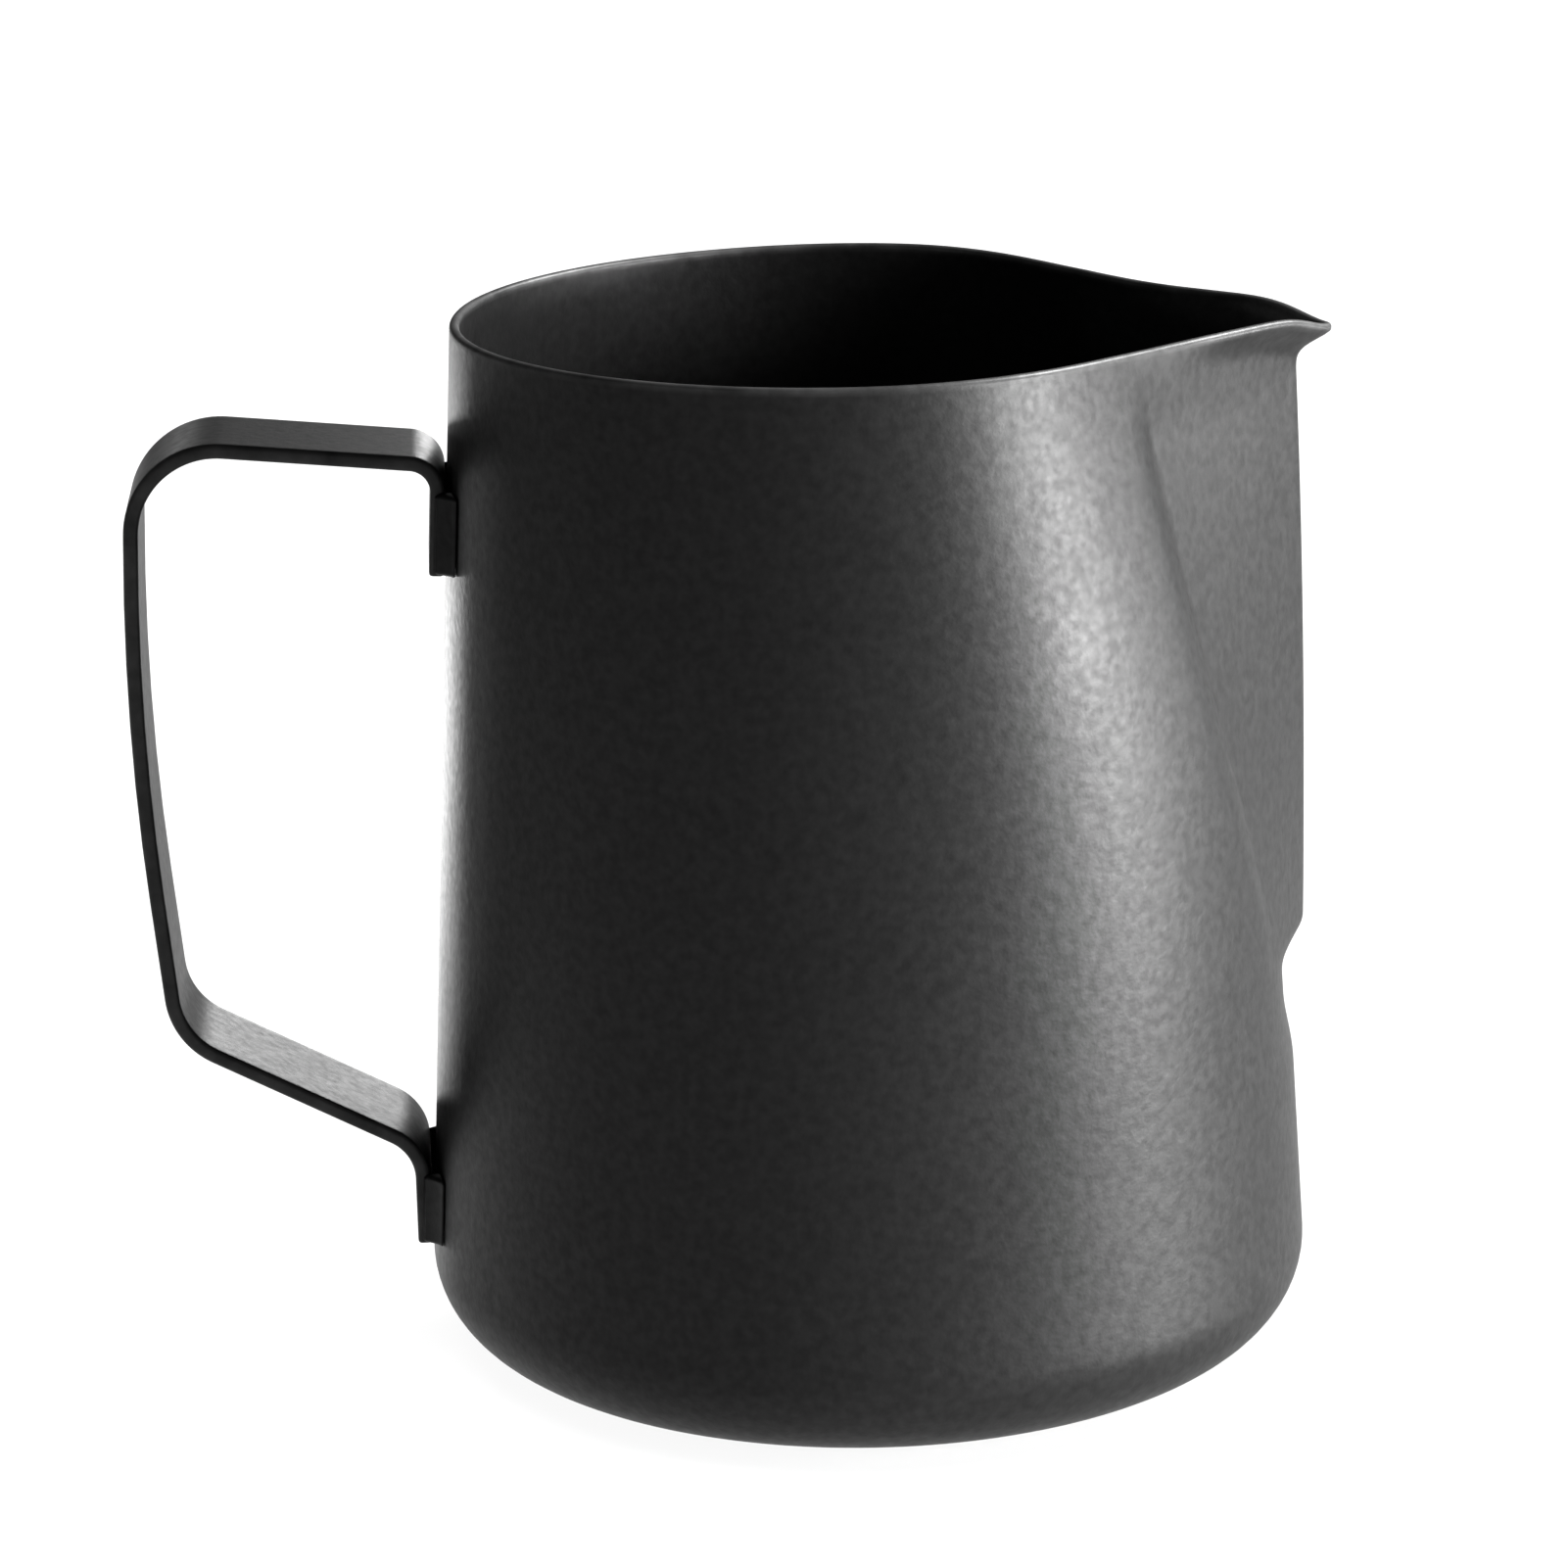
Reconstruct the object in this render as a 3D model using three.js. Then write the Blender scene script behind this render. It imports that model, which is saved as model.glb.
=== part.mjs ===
// Milk frothing pitcher, about 540 ml to the brim: a drawn steel cup with a pinched spout and a handle
// bent from flat bar.
// Millimetres, +Z up. The cup's axis is the Z axis and its flat base lies in the plane z = 0.
// The spout points along +X and the handle stands along -X, so the plane y = 0 mirrors the whole pitcher.
import * as THREE from "three";

// The cup
const HEIGHT = 105.4;        // floor to rim
const BASE_RADIUS = 45;      // widest, just above the rounded bottom corner
const RIM_RADIUS = 39.7;     // round part of the rim, outside
const CORNER = 9;            // outside radius of the bottom corner
const SHEET = 1;             // thickness of the steel

// The spout, pressed out of the wall between two creases. Angles are in degrees from its ridge.
const SPOUT_FOOT = 35.4;     // height where it starts
const SPOUT_STEP = 6;        // height of its blunt foot
const RIDGE_X = 45.4;        // the front ridge, where it stands furthest out below the lip
const RIDGE_Z = 52;          // height of that place
const RIDGE_BOW = 4e-4;      // how fast the ridge bends back above and below it, per mm
const RIDGE_ROUNDING = 2;    // blend between the spout's two sides
const CREASE_FOOT = 20;      // angle of the crease at the foot
const CREASE_RIM = 40;       // and at the rim
const CREASE_CURVE = 1.5;
const CREASE_ROUNDING = 1.2;
const PINCH = 5.05;          // how deep the rim is dented at the crease
const PINCH_ANGLE = 28;      // how far round the cup the dent spreads
const PINCH_CURVE = 2;       // how fast it dies out below the rim
const SQUEEZE = 1.37;        // how much the rim is narrowed across the spout
const VALLEY = 1.5;          // the fold right beside the crease
const VALLEY_ANGLE = 5.5;
const VALLEY_FOOT = 0.5;     // parts of the spout's height over which the fold fades, below and above
const VALLEY_TOP = 0.14;
const LIP_FLARE = 3.8;       // how far the beak's edge curls outwards
const LIP_HEIGHT = 1.8;      // height over which it curls
const LIP_ANGLE = 17;
const BEAK_DROOP = 1.48;     // the rim falls towards the beak
const BEAK_ANGLE = 78;
const TIP_DROOP = 1.8;       // and falls further at its tip
const TIP_ANGLE = 5.5;
const DRAW_IN = 0.9;         // the wall is drawn in around the foot
const DRAW_ANGLE = 18;
const DRAW_FADE = 8;
const FOOT_BLEND = 1;        // softens where the spout leaves the wall, at the ridge's foot
const CREASE_BLEND = 0.05;   // and everywhere else

// The handle, one flat bar bent in the plane y = 0
const BAR_WIDTH = 14;
const BAR = 1.5;             // thickness
const BAR_EDGE = 0.3;        // rounding of its long edges
const FIT = 0.15;            // clearance between pieces that touch
const UPPER_TAB_END = 81.4;  // heights of the bar's two ends
const LOWER_TAB_END = 11.6;

// Welds along both sides of the two tabs
const WELD_LEG = 2.2;
const WELD_END = 0.15;       // bare tab left below the lower end of a bead
const WELD_RISE = 0.7;       // how far up the side of the bar a bead reaches, as a part of its thickness
const WELD_HOLLOW = 0.6;     // where its face's control point stands: outwards, and sideways
const WELD_SPREAD = 0.4;
const UPPER_WELD = 8.3;      // lengths
const LOWER_WELD = 7.4;

const deg = THREE.MathUtils.degToRad;
const clamp01 = (v) => Math.min(Math.max(v, 0), 1);
const smooth = (v) => clamp01(v) ** 2 * (3 - 2 * clamp01(v));
const bell = (v, width) => Math.exp(-((v / width) ** 2));
const mix = (a, b, t) => a + (b - a) * t;

// The smaller or larger of two lengths, with the corner between them rounded over k.
function softMin(a, b, k) {
  const h = Math.max(k - Math.abs(a - b), 0) / k;
  return Math.min(a, b) - (h * h * k) / 4;
}
const softMax = (a, b, k) => -softMin(-a, -b, k);

const TAPER = Math.atan((BASE_RADIUS - RIM_RADIUS) / (HEIGHT - CORNER));
const CORNER_TOP = CORNER * (1 + Math.sin(TAPER));
const CORNER_X = BASE_RADIUS - CORNER / Math.cos(TAPER);

// Radius of the plain cone at height z.
const wallRadius = (z) => BASE_RADIUS - Math.tan(TAPER) * (z - CORNER);

// How far the rim has sunk at an angle (degrees) from the ridge.
function droop(angle) {
  const wide = angle < BEAK_ANGLE ? (1 + Math.cos((Math.PI * angle) / BEAK_ANGLE)) / 2 : 0;
  return BEAK_DROOP * wide + TIP_DROOP * bell(angle, TIP_ANGLE);
}

// Where the front ridge stands at height z, without the lip's curl. Its foot starts under the wall.
function ridgeX(z) {
  const ridge = RIDGE_X - RIDGE_BOW * (z - RIDGE_Z) ** 2;
  return mix(wallRadius(z) - 2 * FOOT_BLEND, ridge, smooth((z - SPOUT_FOOT) / SPOUT_STEP));
}

// Angle from the ridge of the crease, where the spout's flat side meets the wall. rise is 0 at the foot
// of the spout and 1 at the rim.
function creaseAngle(rise) {
  return mix(CREASE_FOOT, CREASE_RIM, Math.sin((Math.PI / 2) * rise) ** CREASE_CURVE);
}

// Radius of the wall beside the spout. Drawing the spout out pulls the cup oval, dents it, and folds it
// in along the crease.
function drawnWall(angle, z, rise) {
  const past = Math.max(angle - creaseAngle(rise), 0);
  const oval = SQUEEZE * Math.sin(deg(angle)) ** 2;
  const dent = (oval + PINCH * bell(past, PINCH_ANGLE)) * rise ** PINCH_CURVE;
  const depth = VALLEY * smooth(rise / VALLEY_FOOT) * smooth((1 - rise) / VALLEY_TOP);
  return wallRadius(z) - dent - depth * bell(past + VALLEY_ANGLE / 2, VALLEY_ANGLE);
}

// Outside radius at height z and an angle (degrees, 0 to 180) from the ridge.
function outsideRadius(angle, z) {
  const rise = clamp01((z - SPOUT_FOOT) / (HEIGHT - SPOUT_FOOT));
  const drawIn = DRAW_IN * smooth(1 - (SPOUT_FOOT - z) / DRAW_FADE);
  const wall = (at) => drawnWall(at, z, rise) - drawIn * bell(at, DRAW_ANGLE);
  const cup = wall(angle);
  if (z <= SPOUT_FOOT) return cup;

  // Seen from above, the spout's side is a straight line from the ridge to the crease.
  const crease = creaseAngle(rise);
  const apex = ridgeX(z) + RIDGE_ROUNDING / 4;
  const fold = wall(crease);
  const slant = Math.atan2(fold * Math.sin(deg(crease)), apex - fold * Math.cos(deg(crease)));
  const side = (a) => (apex * Math.sin(slant)) / Math.sin(slant + deg(a));
  const near = Math.min(angle, crease + CREASE_ROUNDING);
  const beak = softMin(side(near), side(-near), RIDGE_ROUNDING);

  const clear = Math.max((z - SPOUT_FOOT) / SPOUT_STEP - 1, angle / crease);
  const soft = mix(FOOT_BLEND, CREASE_BLEND, smooth(clear));
  const past = smooth((angle - crease) / (2 * CREASE_ROUNDING) + 0.5);
  const flare = LIP_FLARE * bell(HEIGHT - z, LIP_HEIGHT) * bell(angle, LIP_ANGLE);
  return mix(softMax(beak, cup, soft), cup, past) + flare;
}

// A point of the outside. s runs from -1 at the edge of the flat base through 0 at the top of the
// rounded corner; above that it is the height over the corner, before the rim's droop.
function outside(turn, s) {
  const angle = Math.abs(turn);
  let r, z;
  if (s <= 0) {
    const up = mix(-Math.PI / 2, TAPER, s + 1);
    r = CORNER_X + CORNER * Math.cos(up);
    z = CORNER + CORNER * Math.sin(up);
  } else {
    z = CORNER_TOP + s;
    r = outsideRadius(angle, z);
    z -= droop(angle) * clamp01((z - SPOUT_FOOT) / (HEIGHT - SPOUT_FOOT)) ** 2;
  }
  return new THREE.Vector3(r * Math.cos(deg(turn)), r * Math.sin(deg(turn)), z);
}

// The outward normal and the upward tangent there.
function facing(turn, s) {
  const step = 0.01;
  const along = outside(turn + step, s).sub(outside(turn - step, s));
  const up = outside(turn, s + step / 2).sub(outside(turn, s - step / 2)).normalize();
  return { normal: along.cross(up).normalize(), up };
}

// Angles round the cup, close together at the spout.
function turns() {
  const half = [];
  for (let a = 0; a < 12; a += 2) half.push(a);
  for (let a = 12; a < 60; a += 3) half.push(a);
  for (let a = 60; a <= 180; a += 6) half.push(a);
  return [...half, ...half.slice(1, -1).reverse().map((a) => -a)];
}

// Values of s up the wall: the corner, the plain wall, the foot of the spout, the spout and the lip.
function rows() {
  const s = [];
  for (let i = 0; i <= 5; i++) s.push(i / 5 - 1);
  const heights = [22, 32, 36, 38, 40, 42, 45, 52, 60, 68, 76, 84, 91, 96, 100, 102, 103.2, 104.2];
  heights.forEach((z) => s.push(z - CORNER_TOP));
  s.push(HEIGHT - SHEET / 2 - CORNER_TOP);
  return s;
}

// A closed surface from rings of points, with a point at each end.
function closedSurface(rings, first, last) {
  const n = rings[0].length;
  const points = [first, ...rings.flat(), last];
  const at = (ring, i) => 1 + ring * n + (i % n);
  const index = [];
  for (let i = 0; i < n; i++) {
    index.push(0, at(0, i + 1), at(0, i));
    for (let ring = 0; ring + 1 < rings.length; ring++) {
      index.push(at(ring, i), at(ring, i + 1), at(ring + 1, i + 1));
      index.push(at(ring, i), at(ring + 1, i + 1), at(ring + 1, i));
    }
    index.push(points.length - 1, at(rings.length - 1, i), at(rings.length - 1, i + 1));
  }
  const g = new THREE.BufferGeometry().setFromPoints(points).setIndex(index);
  g.computeVertexNormals();
  return g;
}

// The cup: the outside, over the rounded rim, and back down the inside one sheet thickness in.
function bodyShell() {
  const around = turns();
  const up = rows();
  const outer = up.map((s) => around.map((t) => outside(t, s)));
  const inner = up.map((s) =>
    around.map((t) => outside(t, s).addScaledVector(facing(t, s).normal, -SHEET)),
  );
  const rimRow = up[up.length - 1];
  const lip = [45, 90, 135].map((round) =>
    around.map((t) => {
      const { normal, up: rise } = facing(t, rimRow);
      return outside(t, rimRow)
        .addScaledVector(normal, (SHEET / 2) * (Math.cos(deg(round)) - 1))
        .addScaledVector(rise, (SHEET / 2) * Math.sin(deg(round)));
    }),
  );
  const under = new THREE.Vector3(0, 0, 0);
  const floor = new THREE.Vector3(0, 0, SHEET);
  return closedSurface([...outer, ...lip, ...inner.reverse()], under, floor);
}

// Centre line of the handle's bar in the plane y = 0: its corners and their bend radii.
function barLine() {
  const tabX = (z) => -(wallRadius(z) + FIT + BAR / 2);
  return [
    [tabX(UPPER_TAB_END), UPPER_TAB_END, 0],
    [tabX(92.5), 92.5, 2.9],
    [-71.15, 95.6, 8.5],
    [-72.65, 67.3, 260],
    [-69.7, 34.5, 7.75],
    [tabX(LOWER_TAB_END), 21.7, 5.25],
    [tabX(LOWER_TAB_END), LOWER_TAB_END, 0],
  ].map(([x, z, bend]) => ({ at: new THREE.Vector2(x, z), bend }));
}

// One face of the bar: the centre line moved sideways, with its bends as arcs.
function barFace(corners, offset) {
  const points = [];
  corners.forEach(({ at, bend }, i) => {
    const before = corners[i - 1]?.at;
    const after = corners[i + 1]?.at;
    const arrive = before && at.clone().sub(before).normalize();
    const leave = after && after.clone().sub(at).normalize();
    if (!before || !after) {
      const way = arrive ?? leave;
      points.push(at.clone().add(new THREE.Vector2(-way.y, way.x).multiplyScalar(offset)));
      return;
    }
    const turn = Math.atan2(arrive.cross(leave), arrive.dot(leave));
    const left = new THREE.Vector2(-arrive.y, arrive.x);
    const inside = Math.sign(turn);
    const start = at.clone().addScaledVector(arrive, -bend * Math.tan(Math.abs(turn) / 2));
    const centre = start.clone().addScaledVector(left, inside * bend);
    const steps = Math.max(3, Math.ceil(Math.abs(turn) / deg(12)));
    for (let k = 0; k <= steps; k++) {
      const spoke = left.clone().multiplyScalar(offset - inside * bend);
      points.push(spoke.rotateAround(new THREE.Vector2(), (turn * k) / steps).add(centre));
    }
  });
  return points;
}

// The handle: the bar's side outline, extruded across its width with rounded edges.
function handleStrap() {
  const corners = barLine();
  const half = BAR / 2 - BAR_EDGE;
  const outline = [...barFace(corners, -half), ...barFace(corners, half).reverse()];
  const bar = new THREE.ExtrudeGeometry(new THREE.Shape(outline), {
    depth: BAR_WIDTH - 2 * BAR_EDGE,
    bevelThickness: BAR_EDGE,
    bevelSize: BAR_EDGE,
    bevelSegments: 2,
  });
  bar.translate(0, 0, BAR_EDGE - BAR_WIDTH / 2);
  return bar.rotateX(Math.PI / 2);
}

// A weld bead in the corner between a tab's side face and the wall, from the height low upwards.
// side is 1 for the bead on the +Y side of the bar and -1 for the other.
function weldBead(low, length, side) {
  const radius = wallRadius(low);
  const wallX = (y) => -Math.sqrt((radius + FIT) ** 2 - y * y);
  const near = BAR_WIDTH / 2 + FIT;
  const far = near + WELD_LEG;
  const face = -(radius + FIT + BAR * WELD_RISE);
  const section = new THREE.Shape();
  section.moveTo(wallX(near), side * near);
  section.lineTo(face, side * near);
  const bendX = mix(face, wallX(far), WELD_HOLLOW);
  const bendY = mix(near, far, WELD_SPREAD);
  section.quadraticCurveTo(bendX, side * bendY, wallX(far), side * far);
  const bead = new THREE.ExtrudeGeometry(section, {
    depth: length,
    bevelEnabled: false,
    curveSegments: 5,
  });
  return bead.translate(radius, 0, 0).rotateY(TAPER).translate(-radius, 0, low);
}

const blackCoat = (name) =>
  new THREE.MeshStandardMaterial({ name, color: 0x17181a, roughness: 0.5, metalness: 0.1 });

function piece(name, geometry) {
  const mesh = new THREE.Mesh(geometry, blackCoat(name));
  mesh.name = name;
  return mesh;
}

const pitcher = new THREE.Group();
pitcher.name = "milk_frothing_pitcher";
pitcher.add(piece("body_shell", bodyShell()), piece("handle_strap", handleStrap()));
for (const [hand, side] of [["left", 1], ["right", -1]]) {
  const upper = weldBead(UPPER_TAB_END + WELD_END, UPPER_WELD, side);
  const lower = weldBead(LOWER_TAB_END + WELD_END, LOWER_WELD, side);
  pitcher.add(piece("upper_weld_" + hand, upper), piece("lower_weld_" + hand, lower));
}

export default pitcher;
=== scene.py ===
"""Milk frothing pitcher: the looks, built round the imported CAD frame.

Shapes are worked out in millimetres, as the design is, and turned into metres when a mesh is made.
The pitcher stands on the plane z = 0 with its spout along +X and its handle along -X.
"""
import math

import bpy
import numpy as np
from mathutils import Matrix, Vector


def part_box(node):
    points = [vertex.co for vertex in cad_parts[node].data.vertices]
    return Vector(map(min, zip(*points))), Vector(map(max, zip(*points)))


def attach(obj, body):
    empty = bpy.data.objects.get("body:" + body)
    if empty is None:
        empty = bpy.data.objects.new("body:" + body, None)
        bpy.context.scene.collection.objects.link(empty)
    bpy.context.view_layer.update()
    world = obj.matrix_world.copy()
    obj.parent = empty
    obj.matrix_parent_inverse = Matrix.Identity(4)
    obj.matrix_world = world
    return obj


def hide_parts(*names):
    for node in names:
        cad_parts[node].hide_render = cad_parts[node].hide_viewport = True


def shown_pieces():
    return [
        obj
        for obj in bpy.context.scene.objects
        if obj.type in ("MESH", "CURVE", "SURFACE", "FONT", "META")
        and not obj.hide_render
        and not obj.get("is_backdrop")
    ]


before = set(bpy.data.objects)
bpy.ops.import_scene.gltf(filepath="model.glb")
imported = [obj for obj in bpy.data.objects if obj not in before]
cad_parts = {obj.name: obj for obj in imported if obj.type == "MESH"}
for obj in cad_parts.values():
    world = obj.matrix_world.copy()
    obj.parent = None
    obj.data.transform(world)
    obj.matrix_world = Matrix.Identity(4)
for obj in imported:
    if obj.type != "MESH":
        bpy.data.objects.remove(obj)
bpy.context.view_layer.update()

MM = 0.001

# The cup. Its height and its widest radius come from the frame.
CUP_LOW, CUP_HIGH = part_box("body_shell")
HEIGHT = CUP_HIGH.z / MM
BASE_RADIUS = CUP_HIGH.y / MM
RIM_RADIUS = 39.7
CORNER = 9
SHEET = 1

# The spout. Angles are in degrees from its ridge. The ridge comes out through the wall within
# SPOUT_STEP of the foot, and the crease opens from CREASE_FOOT there to CREASE_RIM at the rim. The
# wall is pinched and squeezed in beside it, and folded in along it (VALLEY). The rim sinks over the
# whole BEAK and again at the TIP.
SPOUT_FOOT = 35.4
SPOUT_STEP = 6
RIDGE_X = 45.4
RIDGE_Z = 52
RIDGE_BOW = 4e-4
RIDGE_ROUNDING = 2
CREASE_FOOT = 20
CREASE_RIM = 40
CREASE_CURVE = 1.5
CREASE_ROUNDING = 1.2
PINCH = 5.05
PINCH_ANGLE = 28
PINCH_CURVE = 2.0
SQUEEZE = 1.37
VALLEY = 1.5
VALLEY_ANGLE = 5.5
VALLEY_FOOT = 0.5
VALLEY_TOP = 0.14
LIP_FLARE = 3.8
LIP_HEIGHT = 1.8
LIP_ANGLE = 17
BEAK_DROOP = 1.48
BEAK_ANGLE = 78
TIP_DROOP = 1.8
TIP_ANGLE = 5.5
DRAW_IN = 0.9
DRAW_ANGLE = 18
DRAW_FADE = 8
FOOT_BLEND = 1
CREASE_BLEND = 0.05

# The cup's mesh: angles from the ridge with the spacing between them, finest round the spout, where
# the rings of its two flat floors lie, as shares of the flat's radius, and how many degrees apart the
# rings over the rim's rounded edge are
TURNS = (0, 0.6, 12, 0.9, 60, 2, 180)
FLOOR_RINGS = (0.25, 0.5, 0.75, 0.92)
RIM_STEP = 18

# The handle's bar. FIT is the gap left between neighbouring pieces.
BAR_WIDTH = 14
BAR = 1.5
BAR_EDGE = 0.45
WORN_BAND = 1.0
FIT = 0.15
UPPER_TAB_END = 81.4
LOWER_TAB_END = 11.6

# The bar's mesh: the widest spacing along it, the degrees between sections in a bend and the fewest
# there, the points on each rounded edge, and the least radius of that edge
BAR_GAP = 1.5
BEND_STEP = 3
BEND_LEAST = 6
EDGE_POINTS = 5
BAR_LEAST_EDGE = 0.02
# How the bar's end is softened: how far in from the end a section is, and how much it is shrunk there
BAR_END = ((0.0, 0.3), (0.05, 0.14), (0.18, 0.03), (0.4, 0.0))

# The welds: the length of each, the leg on the wall, the rise as a share of the bar's thickness, how
# far above its tab's end one starts, how much of each end is rounded, and the least size there
UPPER_WELD = 8.3
LOWER_WELD = 7.4
WELD_LEG = 2.2
WELD_RISE = 0.7
WELD_END = 0.15
WELD_ROUND = 0.5
WELD_LEAST = 0.05
# How hollow the weld's face is: where its curve is drawn to, as shares of the way in towards the wall
# and out along it
WELD_HOLLOW = 0.6
WELD_SPREAD = 0.4
# The weld's mesh: its finely divided ends, the spacing there and between them, and points on its face
WELD_TIP = 0.6
WELD_TIP_GAP = 0.08
WELD_GAP = 0.2
WELD_POINTS = 9

TAPER = math.atan((BASE_RADIUS - RIM_RADIUS) / (HEIGHT - CORNER))
CORNER_TOP = CORNER * (1 + math.sin(TAPER))
CORNER_X = BASE_RADIUS - CORNER / math.cos(TAPER)


def clamp01(v):
    return np.clip(v, 0, 1)


def smooth(v):
    return clamp01(v) ** 2 * (3 - 2 * clamp01(v))


def bell(v, width):
    return np.exp(-((v / width) ** 2))


def mix(a, b, t):
    return a + (b - a) * t


def soft_min(a, b, k):
    """The smaller of two lengths, with the corner between them rounded over k."""
    h = np.maximum(k - np.abs(a - b), 0) / k
    return np.minimum(a, b) - h * h * k / 4


def soft_max(a, b, k):
    return -soft_min(-a, -b, k)


def wall_radius(z):
    return BASE_RADIUS - math.tan(TAPER) * (z - CORNER)


def droop(angle):
    """How far the rim has sunk at an angle from the ridge."""
    wide = np.where(angle < BEAK_ANGLE, (1 + np.cos(np.pi * angle / BEAK_ANGLE)) / 2, 0)
    return BEAK_DROOP * wide + TIP_DROOP * bell(angle, TIP_ANGLE)


def ridge_x(z):
    ridge = RIDGE_X - RIDGE_BOW * (z - RIDGE_Z) ** 2
    return mix(wall_radius(z) - 2 * FOOT_BLEND, ridge, smooth((z - SPOUT_FOOT) / SPOUT_STEP))


def crease_angle(rise):
    """Angle from the ridge of the crease where the spout's flat side meets the cup's wall."""
    return mix(CREASE_FOOT, CREASE_RIM, np.sin(np.pi / 2 * rise) ** CREASE_CURVE)


def outside_radius(angle, z):
    """Outside radius at height z and an angle (degrees, 0 to 180) from the ridge."""
    rise = clamp01((z - SPOUT_FOOT) / (HEIGHT - SPOUT_FOOT))
    crease = crease_angle(rise)
    draw_in = DRAW_IN * smooth(1 - (SPOUT_FOOT - z) / DRAW_FADE)

    def wall(at):
        """Drawing the spout out pulls the cup oval, dents it, and folds it in along the crease."""
        past = np.maximum(at - crease, 0)
        oval = SQUEEZE * np.sin(np.radians(at)) ** 2
        dent = (oval + PINCH * bell(past, PINCH_ANGLE)) * rise**PINCH_CURVE
        depth = VALLEY * smooth(rise / VALLEY_FOOT) * smooth((1 - rise) / VALLEY_TOP)
        fold_in = depth * bell(past + VALLEY_ANGLE / 2, VALLEY_ANGLE)
        return wall_radius(z) - dent - fold_in - draw_in * bell(at, DRAW_ANGLE)

    # Seen from above, the spout's side is a straight line from the ridge to the crease.
    apex = ridge_x(z) + RIDGE_ROUNDING / 4
    fold, turn = wall(crease), np.radians(crease)
    slant = np.arctan2(fold * np.sin(turn), apex - fold * np.cos(turn))
    near = np.minimum(angle, crease + CREASE_ROUNDING)
    sides = [apex * np.sin(slant) / np.sin(slant + np.radians(a)) for a in (near, -near)]
    beak = soft_min(*sides, RIDGE_ROUNDING)

    cup = wall(angle)
    clear = np.maximum((z - SPOUT_FOOT) / SPOUT_STEP - 1, angle / crease)
    soft = mix(FOOT_BLEND, CREASE_BLEND, smooth(clear))
    spout = mix(soft_max(beak, cup, soft), cup, smooth((angle - crease) / (2 * CREASE_ROUNDING) + 0.5))
    flare = LIP_FLARE * bell(HEIGHT - z, LIP_HEIGHT) * bell(angle, LIP_ANGLE)
    return np.where(z <= SPOUT_FOOT, cup, spout + flare)


def outside(turn, s):
    """Points of the outside. s runs from -1 at the edge of the flat base through 0 at the top of the
    rounded corner; above that it is the height over the corner, before the rim's droop."""
    turn, s = np.broadcast_arrays(np.asarray(turn, float), np.asarray(s, float))
    up = mix(-np.pi / 2, TAPER, s + 1)
    z = CORNER_TOP + np.maximum(s, 0)
    r = np.where(s <= 0, CORNER_X + CORNER * np.cos(up), outside_radius(np.abs(turn), z))
    share = clamp01((z - SPOUT_FOOT) / (HEIGHT - SPOUT_FOOT))
    z = np.where(s <= 0, CORNER + CORNER * np.sin(up), z - droop(np.abs(turn)) * share**2)
    return np.stack([r * np.cos(np.radians(turn)), r * np.sin(np.radians(turn)), z], -1)


def facing(turn, s):
    """The outward normals and the upward tangents there."""
    step = 0.01
    along = outside(turn + step, s) - outside(turn - step, s)
    up = outside(turn, s + step / 2) - outside(turn, s - step / 2)
    up /= np.linalg.norm(up, axis=-1, keepdims=True)
    normal = np.cross(along, up)
    return normal / np.linalg.norm(normal, axis=-1, keepdims=True), up


def steps(*stops):
    """Numbers from the first stop to the last. Stops alternate with the spacing between them."""
    out = []
    for start, gap, end in zip(stops[0::2], stops[1::2], stops[2::2]):
        count = max(1, round((end - start) / gap))
        out += list(np.linspace(start, end, count, endpoint=False))
    return np.array(out + [stops[-1]])


def mesh_piece(name, points, faces, edge=None):
    """A smooth-shaded mesh object from points in millimetres. edge is how far a point is worn, 0 to 1."""
    mesh = bpy.data.meshes.new(name)
    mesh.from_pydata([tuple(p) for p in np.asarray(points) * MM], [], faces)
    mesh.polygons.foreach_set("use_smooth", [True] * len(mesh.polygons))
    if edge is not None:
        worn = mesh.attributes.new("edge", "FLOAT", "POINT")
        worn.data.foreach_set("value", np.asarray(edge, np.float32))
    mesh.update()
    piece = bpy.data.objects.new(name, mesh)
    bpy.context.scene.collection.objects.link(piece)
    return piece


def ring_faces(rings, count):
    """Quads between closed rings of count points each, in order."""
    faces = []
    for ring in range(rings - 1):
        low, high = ring * count, (ring + 1) * count
        for i in range(count):
            after = (i + 1) % count
            faces.append((low + i, low + after, high + after, high + i))
    return faces


def end_caps(rings, count):
    """The two flat ends of a solid made of rings."""
    last = (rings - 1) * count
    return [tuple(range(count - 1, -1, -1)), tuple(last + i for i in range(count))]


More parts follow.
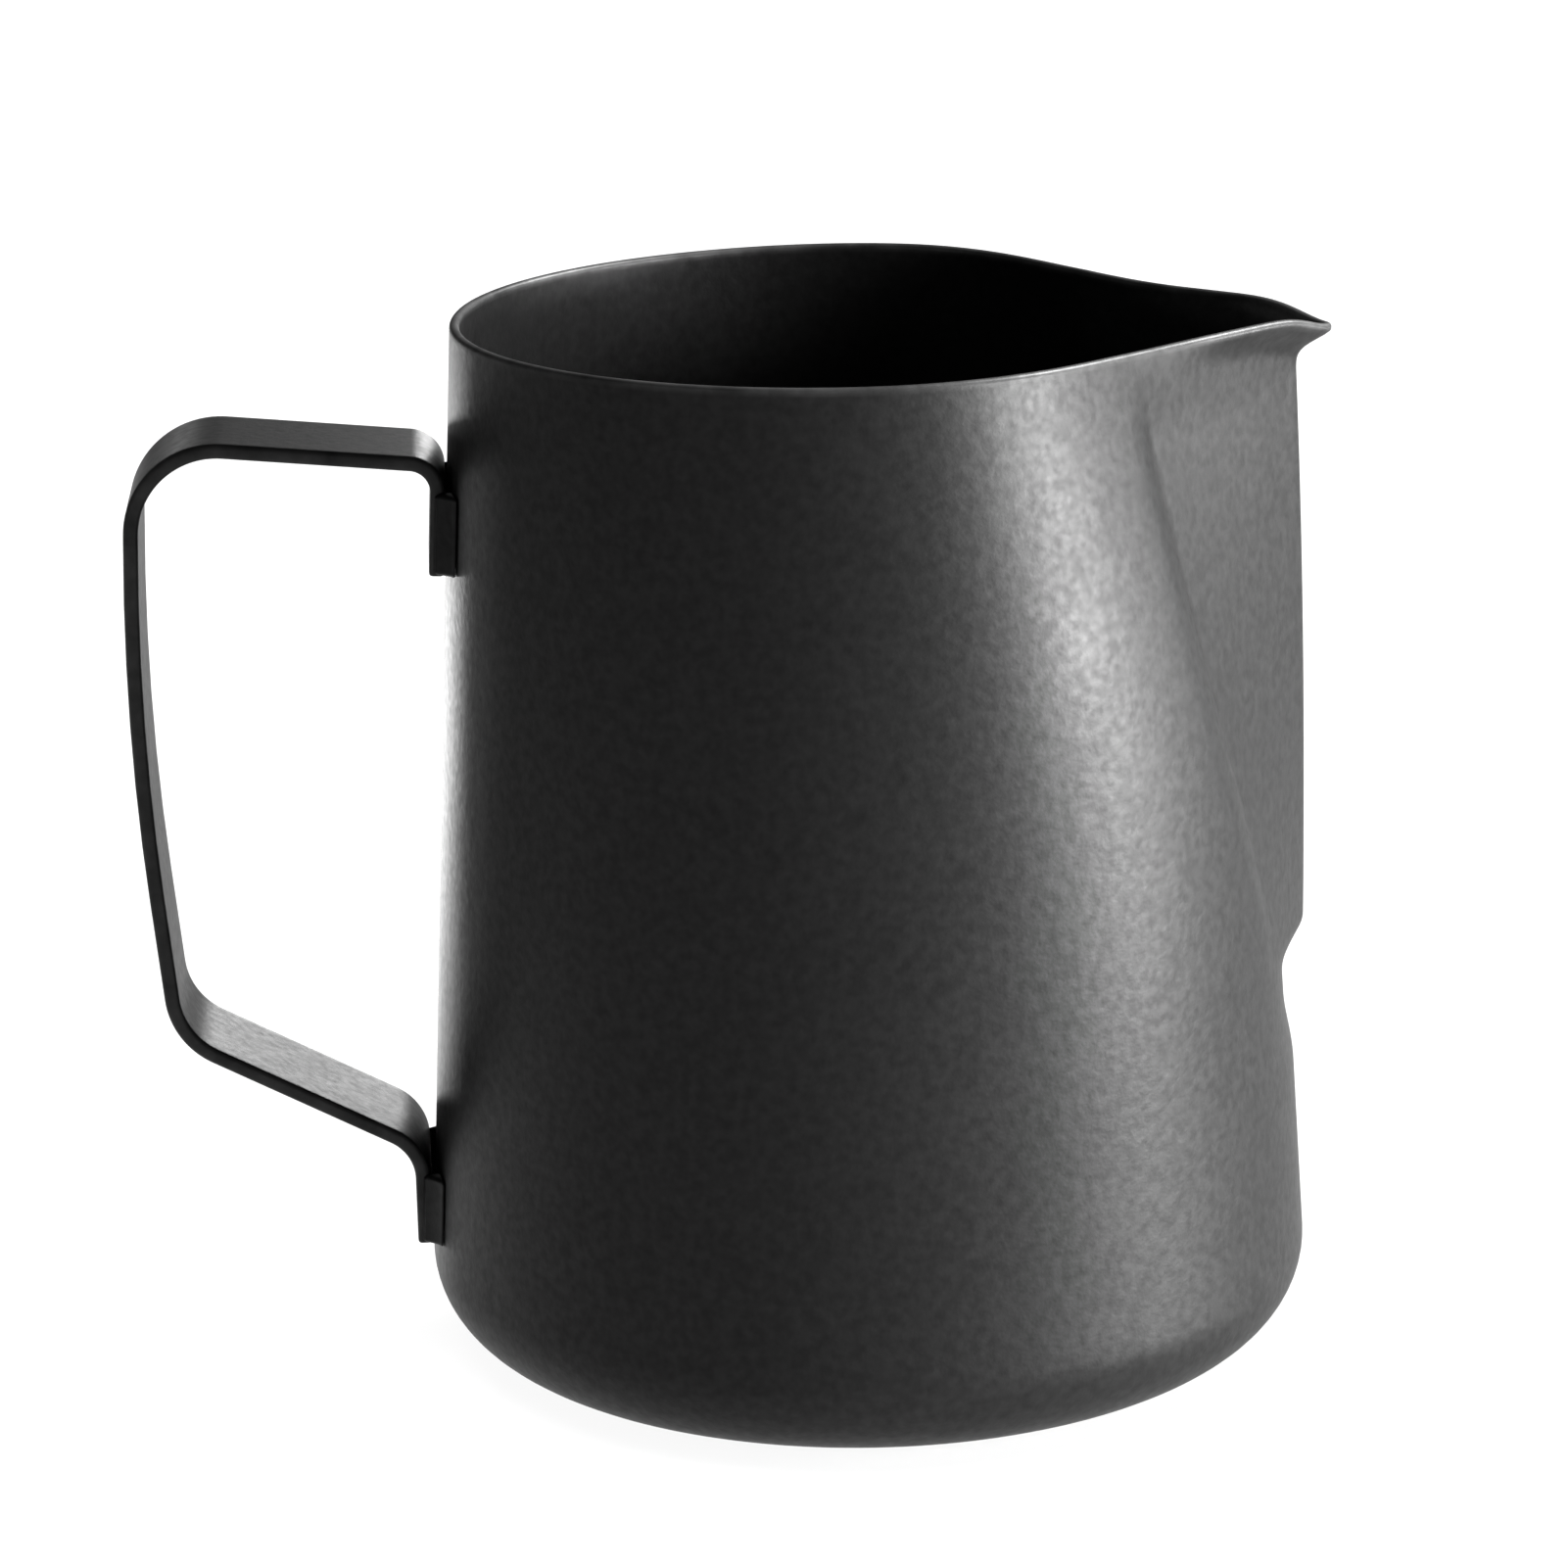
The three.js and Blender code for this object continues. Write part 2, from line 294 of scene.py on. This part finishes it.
def body_coat_piece():
    """The cup: the outside, over the rounded rim, and down the inside one sheet thickness in."""
    half = steps(*TURNS)
    turn = np.concatenate([half, -half[1:-1][::-1]])[None, :]
    foot = SPOUT_FOOT - CORNER_TOP
    top = HEIGHT - SHEET / 2 - CORNER_TOP
    # The rings lie closest together round the spout's foot and below the rim.
    levels = steps(-1, 0.06, 0, 2, foot - 9, 0.7, foot - 1, 0.4, foot + 9, 0.9, top - 9, 0.4, top)
    rise = levels[:, None]
    outer = outside(turn, rise)
    inner = outer - SHEET * facing(turn, rise)[0]
    normal, up = facing(turn, np.array([[top]]))
    edge = outside(turn, np.array([[top]]))
    round_over = np.radians(steps(0, RIM_STEP, 180)[1:-1])[:, None, None]
    lip = edge + SHEET / 2 * ((np.cos(round_over) - 1) * normal + np.sin(round_over) * up)
    under = np.stack([outer[0] * share for share in FLOOR_RINGS])
    floor = np.stack([inner[0] * [share, share, 1] for share in FLOOR_RINGS[::-1]])
    rings = np.concatenate([under, outer, lip, inner[::-1], floor])
    count = turn.size
    points = np.concatenate([rings.reshape(-1, 3), [[0, 0, 0], [0, 0, SHEET]]])
    faces = ring_faces(len(rings), count)
    base, bottom, end = len(points) - 2, len(points) - 1, (len(rings) - 1) * count
    faces += [(base, (i + 1) % count, i) for i in range(count)]
    faces += [(bottom, end + i, end + (i + 1) % count) for i in range(count)]
    below_rim = len(under) + len(outer) - 1
    to_rim = [0] * below_rim + [0.5] + [1] * len(lip) + [0.5]
    worn = np.repeat(to_rim + [0] * (len(rings) - len(to_rim)), count)
    return mesh_piece("body_shell_coated", points, faces, np.append(worn, [0, 0]))


def bar_line():
    """Centre line of the handle's bar in the plane y = 0: x, z and bend radius of each corner."""
    def tab_x(z):
        return -(wall_radius(z) + FIT + BAR / 2)

    return [
        (tab_x(UPPER_TAB_END), UPPER_TAB_END, 0),
        (tab_x(92.5), 92.5, 2.9),
        (-71.15, 95.6, 8.5),
        (-72.65, 67.3, 260),
        (-69.7, 34.5, 7.75),
        (tab_x(LOWER_TAB_END), 21.7, 5.25),
        (tab_x(LOWER_TAB_END), LOWER_TAB_END, 0),
    ]


def bar_path():
    """Points down the centre line with their bends as arcs, and the way the bar runs at each."""
    corners = bar_line()
    points, ways = [], []
    for i, (x, z, bend) in enumerate(corners):
        at = np.array([x, z])
        arrive = at - corners[i - 1][:2] if i else np.array(corners[1][:2]) - at
        leave = np.array(corners[i + 1][:2]) - at if i + 1 < len(corners) else arrive
        arrive, leave = arrive / np.linalg.norm(arrive), leave / np.linalg.norm(leave)
        if not bend:
            points.append(at)
            ways.append(arrive)
            continue
        turn = math.atan2(arrive[0] * leave[1] - arrive[1] * leave[0], arrive @ leave)
        side = math.copysign(1, turn) * np.array([-arrive[1], arrive[0]])
        start = at - arrive * bend * math.tan(abs(turn) / 2)
        count = max(BEND_LEAST, round(abs(turn) / math.radians(BEND_STEP)))
        for t in np.linspace(0, abs(turn), count + 1):
            points.append(start + bend * (math.sin(t) * arrive + (1 - math.cos(t)) * side))
            ways.append(math.cos(t) * arrive + math.sin(t) * side)
    return fill_in(points, ways)


def fill_in(points, ways):
    """The same line with points added where they are more than BAR_GAP apart."""
    line, way = [points[0]], [ways[0]]
    for i in range(1, len(points)):
        count = max(1, math.ceil(np.linalg.norm(points[i] - points[i - 1]) / BAR_GAP))
        for k in range(1, count + 1):
            line.append(mix(points[i - 1], points[i], k / count))
            mean = mix(ways[i - 1], ways[i], k / count)
            way.append(mean / np.linalg.norm(mean))
    return np.array(line), np.array(way)


def bar_section(shrink=0.0):
    """The bar's cross-section, counter-clockwise: across its width and through its thickness. Each
    rounded corner has one more point beside it on the flat, where the worn edge ends."""
    wide, thick = BAR_WIDTH / 2 - shrink, BAR / 2 - shrink
    radius = max(BAR_EDGE - shrink, BAR_LEAST_EDGE)
    out = []
    for quarter, (sx, sy) in enumerate([(1, 1), (-1, 1), (-1, -1), (1, -1)]):
        arc = []
        for a in np.radians(90 * quarter + np.linspace(0, 90, EDGE_POINTS)):
            centre = np.array([sx * (wide - radius), sy * (thick - radius)])
            arc.append(centre + radius * np.array([math.cos(a), math.sin(a)]))
        flat = [np.array([sx * (BAR_WIDTH / 2 - WORN_BAND), sy * thick])]
        out += flat + arc if quarter % 2 else arc + flat
    return np.array(out)


def handle_piece():
    """The handle: the bar's rounded section carried along its centre line, with softened ends."""
    line, way = bar_path()
    start = [(line[0] + way[0] * along, way[0], shrink) for along, shrink in BAR_END]
    finish = [(line[-1] - way[-1] * along, way[-1], shrink) for along, shrink in BAR_END[::-1]]
    middle = [(p, w, 0.0) for p, w in zip(line[1:-1], way[1:-1])]
    rings = []
    for at, along, shrink in start + middle + finish:
        out = np.array([-along[1], along[0]])
        across, through = bar_section(shrink).T
        rings.append(np.stack([at[0] + out[0] * through, across, at[1] + out[1] * through], -1))
    count = len(rings[0])
    points = np.concatenate(rings)
    faces = ring_faces(len(rings), count)
    faces += end_caps(len(rings), count)
    corner = np.abs(bar_section()[:, 0]) > BAR_WIDTH / 2 - (BAR_EDGE + WORN_BAND) / 2
    worn = np.tile(corner.astype(float), len(rings))
    return mesh_piece("handle_strap_coated", points, faces, worn)


def weld_piece(name, low, length, side):
    """A weld bead in the corner between a tab's side face and the wall: a hollow fillet, ground smooth,
    with rounded ends. Its face is one curve from the tab's edge down to the wall."""
    near = BAR_WIDTH / 2 + FIT
    radius = wall_radius(low)
    rings = []
    tip = length - WELD_TIP
    for d in steps(0, WELD_TIP_GAP, WELD_TIP, WELD_GAP, tip, WELD_TIP_GAP, length):
        end = min(d, length - d)
        swell = math.sqrt(clamp01(1 - (1 - min(end / WELD_ROUND, 1)) ** 2))
        leg = max(WELD_LEG * swell, WELD_LEAST)
        rise = max(BAR * WELD_RISE * swell, WELD_LEAST)
        far = near + leg
        wall = [-math.sqrt((radius + FIT) ** 2 - y * y) for y in (near, far)]
        face = -(radius + FIT + rise)
        bend_x, bend_y = mix(face, wall[1], WELD_HOLLOW), mix(near, far, WELD_SPREAD)
        section = [(wall[0], near)]
        for t in np.linspace(0, 1, WELD_POINTS):
            x = (1 - t) ** 2 * face + 2 * t * (1 - t) * bend_x + t * t * wall[1]
            y = (1 - t) ** 2 * near + 2 * t * (1 - t) * bend_y + t * t * far
            section.append((x, y))
        lean = math.tan(TAPER) * d
        rings.append([(x + lean, side * y, low + d) for x, y in section])
    count = len(rings[0])
    faces = ring_faces(len(rings), count) + end_caps(len(rings), count)
    if side > 0:
        faces = [face[::-1] for face in faces]
    return mesh_piece(name, np.concatenate(rings), faces, np.zeros(len(rings) * count))


# The coat. A grain is a noise's size, in cells per metre, and its detail. Bump heights are in metres.
COAT_SHADE = 0.003
COAT_SHADE_SPREAD = (0.8, 1.25)
RUBBED_SHADE = 0.05
RUBBED_COLOUR = 0.5
RUBBED_SMOOTHER = 0.06
RUBBED_LEAST = 0.2
SHINE = (0.098, 0.142)
NOISE_MIDDLE = (0.3, 0.7)
FINE_GRAIN = (2600, 2.0)
PEEL_GRAIN = (850, 2.0)
MOTTLE_GRAIN = (1100, 1.0)
SPECK_GRAIN = (950, 1.0)
BROAD_GRAIN = (45, 3.0)
WEAR_GRAIN = (260, 3.0)
FINE_HEIGHT = 0.000012
PEEL_HEIGHT = 0.000025
BROAD_ROUGHNESS = 0.02
MOTTLE_ROUGHNESS = 0.025
BODY_ROUGHNESS = 0.48
HANDLE_ROUGHNESS = 0.44
WELD_ROUGHNESS = 0.46


def grey(shade):
    return (shade, shade, shade, 1)


def powder_coat(name, rough):
    """Matte black powder coat: a fine orange-peel grain over soft unevenness, dust-fine speckle in the
    colour and the shine, and a slightly rubbed look where a point is marked as an edge."""
    material = bpy.data.materials.new(name)
    material.use_nodes = True
    tree = material.node_tree
    tree.nodes.clear()

    def node(kind, **values):
        made = tree.nodes.new(kind)
        for key, value in values.items():
            setattr(made, key, value)
        return made

    def link(a, b):
        tree.links.new(a, b)

    place = node("ShaderNodeTexCoord").outputs["Object"]

    def noise(scale, detail):
        made = node("ShaderNodeTexNoise")
        made.inputs["Scale"].default_value = scale
        made.inputs["Detail"].default_value = detail
        link(place, made.inputs["Vector"])
        return made.outputs["Fac"]

    def spread(value, low, high):
        """The middle of a noise's range stretched from low to high."""
        made = node("ShaderNodeMapRange")
        link(value, made.inputs["Value"])
        ends = ("From Min", "From Max", "To Min", "To Max")
        for end, number in zip(ends, (*NOISE_MIDDLE, low, high)):
            made.inputs[end].default_value = number
        return made.outputs["Result"]

    def maths(operation, a, b):
        made = node("ShaderNodeMath", operation=operation)
        for socket, value in zip(made.inputs, (a, b)):
            if isinstance(value, (int, float)):
                socket.default_value = value
            else:
                link(value, socket)
        return made.outputs["Value"]

    def bump(height, size):
        made = node("ShaderNodeBump")
        made.inputs["Strength"].default_value = 1.0
        made.inputs["Distance"].default_value = size
        link(height, made.inputs["Height"])
        return made

    fine = noise(*FINE_GRAIN)
    peel = noise(*PEEL_GRAIN)
    mottle = noise(*MOTTLE_GRAIN)
    speck = noise(*SPECK_GRAIN)
    broad = noise(*BROAD_GRAIN)
    worn = node("ShaderNodeAttribute", attribute_name="edge").outputs["Fac"]
    rubbed = maths("MULTIPLY", worn, spread(noise(*WEAR_GRAIN), RUBBED_LEAST, 1.0))

    shader = node("ShaderNodeBsdfPrincipled")
    colour = node("ShaderNodeMix", data_type="RGBA")
    link(spread(peel, 0.0, 1.0), colour.inputs["Factor"])
    colour.inputs["A"].default_value = grey(COAT_SHADE * COAT_SHADE_SPREAD[0])
    colour.inputs["B"].default_value = grey(COAT_SHADE * COAT_SHADE_SPREAD[1])
    rub = node("ShaderNodeMix", data_type="RGBA")
    link(maths("MULTIPLY", rubbed, RUBBED_COLOUR), rub.inputs["Factor"])
    link(colour.outputs["Result"], rub.inputs["A"])
    rub.inputs["B"].default_value = grey(RUBBED_SHADE)
    link(rub.outputs["Result"], shader.inputs["Base Color"])

    uneven = spread(broad, rough - BROAD_ROUGHNESS, rough + BROAD_ROUGHNESS)
    patchy = maths("ADD", uneven, spread(mottle, -MOTTLE_ROUGHNESS, MOTTLE_ROUGHNESS))
    smoother = maths("MULTIPLY", rubbed, RUBBED_SMOOTHER)
    link(maths("SUBTRACT", patchy, smoother), shader.inputs["Roughness"])
    link(spread(speck, *SHINE), shader.inputs["Specular IOR Level"])

    small = bump(fine, FINE_HEIGHT)
    large = bump(peel, PEEL_HEIGHT)
    link(small.outputs["Normal"], large.inputs["Normal"])
    link(large.outputs["Normal"], shader.inputs["Normal"])
    link(shader.outputs["BSDF"], node("ShaderNodeOutputMaterial").inputs["Surface"])
    return material


def dress(piece, material, node):
    """Give a piece its material, hang it from the root, and hide the design piece it stands for."""
    piece.data.materials.clear()
    piece.data.materials.append(material)
    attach(piece, "root")
    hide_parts(node)


def build_pitcher():
    body = powder_coat("powder_coated_body", BODY_ROUGHNESS)
    bar = powder_coat("powder_coated_handle", HANDLE_ROUGHNESS)
    bead = powder_coat("powder_coated_weld", WELD_ROUGHNESS)
    dress(body_coat_piece(), body, "body_shell")
    dress(handle_piece(), bar, "handle_strap")
    for hand, side in (("left", 1), ("right", -1)):
        for place, low, length in (
            ("upper", UPPER_TAB_END + WELD_END, UPPER_WELD),
            ("lower", LOWER_TAB_END + WELD_END, LOWER_WELD),
        ):
            node = f"{place}_weld_{hand}"
            dress(weld_piece(node + "_bead", low, length, side), bead, node)


# The studio. Angles are round the pitcher: azimuth 0 is towards -Y, 90 towards +X.
AIM = Vector((0, 0, 0.05))
LAMP_DISTANCE = 1.5
FLOOR_LAMP_Y = 0.35
FLOOR_LAMP_Z = 2.2
FLOOR_LAMP_SIZE = 2
FLOOR_REACH = 12.0
FLOOR_DROP = 0.0002
FLOOR_SHADE = 0.82
FLOOR_ROUGHNESS = 0.9
WORLD_SHADE = 0.1


def direction(azimuth, elevation):
    a, e = math.radians(azimuth), math.radians(elevation)
    return Vector((math.sin(a) * math.cos(e), -math.cos(a) * math.cos(e), math.sin(e)))


def lamp(name, at, to, width, height, glow, lit, shade=None, shadow=True):
    """A soft rectangular lamp that lights only the objects of the collection lit. glow is in W/m2.
    If a collection shade is given, only its objects stand in the lamp's way."""
    data = bpy.data.lights.new(name, "AREA")
    data.shape = "RECTANGLE"
    data.size = width
    data.size_y = height
    data.energy = glow * width * height
    data.use_shadow = shadow
    made = bpy.data.objects.new(name, data)
    made.location = at
    made.rotation_mode = "QUATERNION"
    made.rotation_quaternion = (Vector(to) - made.location).to_track_quat("-Z", "Y")
    made.light_linking.receiver_collection = lit
    if shade:
        made.light_linking.blocker_collection = shade
    bpy.context.scene.collection.objects.link(made)


def softbox(name, azimuth, elevation, wide, high, glow, lit, shade=None):
    """A softbox that is wide and high degrees across as the pitcher sees it."""
    width, height = (2 * LAMP_DISTANCE * math.tan(math.radians(a) / 2) for a in (wide, high))
    at = AIM + direction(azimuth, elevation) * LAMP_DISTANCE
    lamp(name, at, AIM, width, height, glow, lit, shade)


def group(name, objects):
    made = bpy.data.collections.new(name)
    for o in objects:
        made.objects.link(o)
    return made


def studio_lights(floor):
    """Softboxes round the pitcher, each with its azimuth, elevation, width, height and glow. The ones
    below the floor stand for light thrown up by the pale table, so only the pitcher itself stands in
    their way. The cup, the handle and the floor are lit apart."""
    body = [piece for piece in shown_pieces() if piece.name.startswith("body")]
    cup = group("lit_cup", body)
    bar = group("lit_handle", [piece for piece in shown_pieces() if piece not in body])
    pitcher = group("shading_pitcher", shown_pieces())
    ground = group("lit_floor", [floor])

    softbox("key", 54, 8, 12, 14, 345, cup)
    softbox("key_low", 70, -2, 12, 10, 3050, cup)
    softbox("side", 88, 8, 12, 14, 70, cup)
    softbox("side_low", 100, 4, 14, 10, 90, cup)
    softbox("lip", 112, 43, 16, 16, 650, cup)
    softbox("above", 0, 80, 40, 40, 2.5, cup)
    softbox("front_left", -45, 12, 30, 20, 3.5, cup)
    softbox("rim_left", -158, -13, 5, 5, 225, cup, pitcher)
    softbox("table_right", 90, -30, 30, 20, 46, cup, pitcher)
    softbox("table_front", 0, -35, 50, 20, 12, cup, pitcher)
    softbox("table_under", 0, -60, 50, 24, 16, cup, pitcher)

    softbox("bar_back", 158, 11, 8, 10, 10, bar)
    softbox("bar_back_middle", 165, 11, 8, 10, 60, bar)
    softbox("bar_back_far", 172, 11, 8, 10, 50, bar)
    softbox("bar_left", -167, 9, 6, 16, 6.5, bar)
    softbox("bar_above", 180, 28, 30, 20, 1.1, bar)
    softbox("bar_front", -45, 12, 30, 20, 1.5, bar)

    above, spot = Vector((0, FLOOR_LAMP_Y, FLOOR_LAMP_Z)), Vector((0, FLOOR_LAMP_Y, 0))
    lamp("floor_light", above, spot, FLOOR_LAMP_SIZE, FLOOR_LAMP_SIZE, 4.6, ground)
    lamp("floor_wash", above, spot, FLOOR_LAMP_SIZE, FLOOR_LAMP_SIZE, 18.6, ground, shadow=False)


def studio_floor():
    """A pale matte table, a hair below the pitcher's base."""
    corners = [(-1, -1), (1, -1), (1, 1), (-1, 1)]
    mesh = bpy.data.meshes.new("studio_floor")
    mesh.from_pydata([(x * FLOOR_REACH, y * FLOOR_REACH, 0) for x, y in corners], [], [(0, 1, 2, 3)])
    floor = bpy.data.objects.new("studio_floor", mesh)
    floor.location.z = -FLOOR_DROP
    bpy.context.scene.collection.objects.link(floor)
    material = bpy.data.materials.new("pale_floor")
    material.use_nodes = True
    shader = material.node_tree.nodes["Principled BSDF"]
    shader.inputs["Base Color"].default_value = grey(FLOOR_SHADE)
    shader.inputs["Roughness"].default_value = FLOOR_ROUGHNESS
    shader.inputs["Specular IOR Level"].default_value = 0.0
    mesh.materials.append(material)
    floor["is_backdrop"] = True
    return floor


def studio_world():
    world = bpy.data.worlds.new("studio")
    world.use_nodes = True
    world.node_tree.nodes["Background"].inputs["Color"].default_value = grey(WORLD_SHADE)
    bpy.context.scene.world = world


# The camera, at the photograph's viewpoint: 541 mm from the pitcher and 16.6 degrees up
EYE = Vector((-0.038859, -0.516802, 0.2045))
AHEAD = Vector((0.05792, 0.95992, -0.27424))
ROLL = -1.28
LENS = 121.97
SENSOR = 36.0
CLIP = (0.01, 50)


def camera():
    lens = bpy.data.cameras.new("camera")
    lens.lens = LENS
    lens.sensor_width = SENSOR
    lens.clip_start, lens.clip_end = CLIP
    view = bpy.data.objects.new("camera", lens)
    ahead = AHEAD.normalized()
    roll = math.radians(ROLL)
    right = ahead.cross(Vector((0, 0, 1))).normalized()
    up = right.cross(ahead)
    tilted_right = right * math.cos(roll) + up * math.sin(roll)
    tilted_up = tilted_right.cross(ahead)
    turn = Matrix((tilted_right, tilted_up, -ahead)).transposed()
    view.matrix_world = Matrix.Translation(EYE) @ turn.to_4x4()
    bpy.context.scene.collection.objects.link(view)
    bpy.context.scene.camera = view


build_pitcher()
studio_lights(studio_floor())
studio_world()
camera()
bpy.context.scene.view_settings.view_transform = "Standard"
